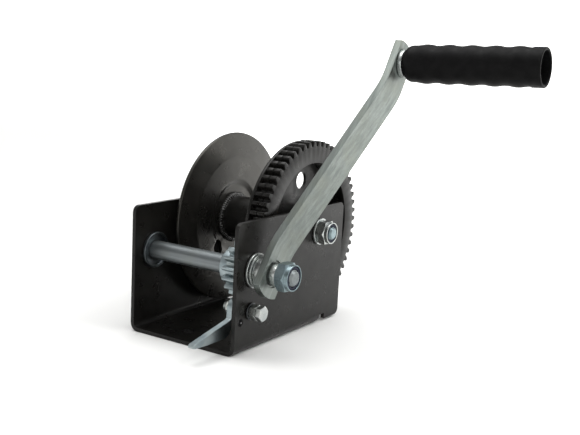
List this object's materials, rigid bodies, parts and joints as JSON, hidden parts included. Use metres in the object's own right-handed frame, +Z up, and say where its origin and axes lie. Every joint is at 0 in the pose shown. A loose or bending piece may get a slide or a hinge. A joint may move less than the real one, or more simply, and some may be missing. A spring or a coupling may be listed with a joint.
{
  "type": "boat trailer winch",
  "caption": "Hand winch for a boat trailer: a drum between two steel side plates, turned through a ring gear and pinion by a cranked handle, with a ratchet pawl.",
  "frame": {"origin": "middle of the base plate on its underside", "axes": "+X towards the crank along the shafts, +Y towards the back of the frame, +Z up from the base"},
  "size_m": [0.2631, 0.2058, 0.2226],
  "materials": {
    "black_paint": "satin powder coat",
    "zinc_plate": "bright zinc plate",
    "zinc_nut": "blue zinc plate",
    "plain_steel": "plain turned steel",
    "spring_steel": "oiled spring steel",
    "nylon": "matte",
    "bronze": "satin",
    "grip_plastic": "satin"
  },
  "bodies": {
    "frame": {"frame": "black_paint", "shaft_bush_left": "zinc_plate", "shaft_bush_right": "zinc_plate", "axle_bolt": "zinc_nut", "axle_washer_left": "zinc_plate", "axle_washer_right": "zinc_plate", "axle_nut": "zinc_nut", "axle_nut_insert": "nylon", "axle_sleeve": "plain_steel", "pawl_bolt": "zinc_plate", "pawl_bolt_washer": "zinc_plate", "pawl_lock_nut": "zinc_plate", "pawl_spacer": "plain_steel", "pawl_inner_nut": "zinc_plate", "pawl_spring": "spring_steel"},
    "drum": {"drum_hub_tube": "black_paint", "drum_flange_left": "black_paint", "drum_flange_right": "black_paint", "gear_ring_inner": "black_paint", "gear_ring_outer": "black_paint", "drum_bush_left": "bronze", "drum_bush_right": "bronze", "hub_weld_left": "black_paint", "hub_weld_right": "black_paint", "gear_weld_1": "black_paint", "gear_weld_2": "black_paint", "gear_weld_3": "black_paint", "gear_weld_4": "black_paint"},
    "crank": {"pinion_shaft": "zinc_plate", "pinion_gear": "zinc_plate", "shaft_retaining_ring": "spring_steel", "shaft_washer_left": "zinc_plate", "thrust_washer": "zinc_plate", "shaft_spacer": "zinc_plate", "crank_arm": "zinc_plate", "crank_collar": "zinc_plate", "crank_nut": "zinc_nut", "crank_nut_insert": "nylon", "grip_pin": "zinc_plate", "grip_washer_arm": "zinc_plate", "grip_washer_end": "zinc_plate", "grip_nut": "zinc_nut"},
    "grip_body": {"grip": "grip_plastic"},
    "pawl_body": {"pawl": "zinc_plate"}
  },
  "joints": [
    {"name": "drum_spin", "type": "hinge", "parent": "frame", "child": "drum", "pos_m": [0, 0.0486, 0.0753], "axis": [1, 0, 0], "continuous": true},
    {"name": "pinion_spin", "type": "hinge", "parent": "frame", "child": "crank", "pos_m": [0, -0.03533, 0.059], "axis": [1, 0, 0], "continuous": true},
    {"name": "grip_spin", "type": "hinge", "parent": "crank", "child": "grip_body", "pos_m": [0.0998, 0.06764, 0.20578], "axis": [0.9996, 0.016, 0.0229], "continuous": true},
    {"name": "pawl_tilt", "type": "hinge", "parent": "frame", "child": "pawl_body", "pos_m": [0, -0.0385, 0.03], "axis": [1, 0, 0], "range_deg": [0, 9.5], "deforming": ["pawl_spring"]}
  ],
  "couplings": [
    {"joint": "pinion_spin", "follows": "drum_spin", "ratio": -3.75}
  ]
}
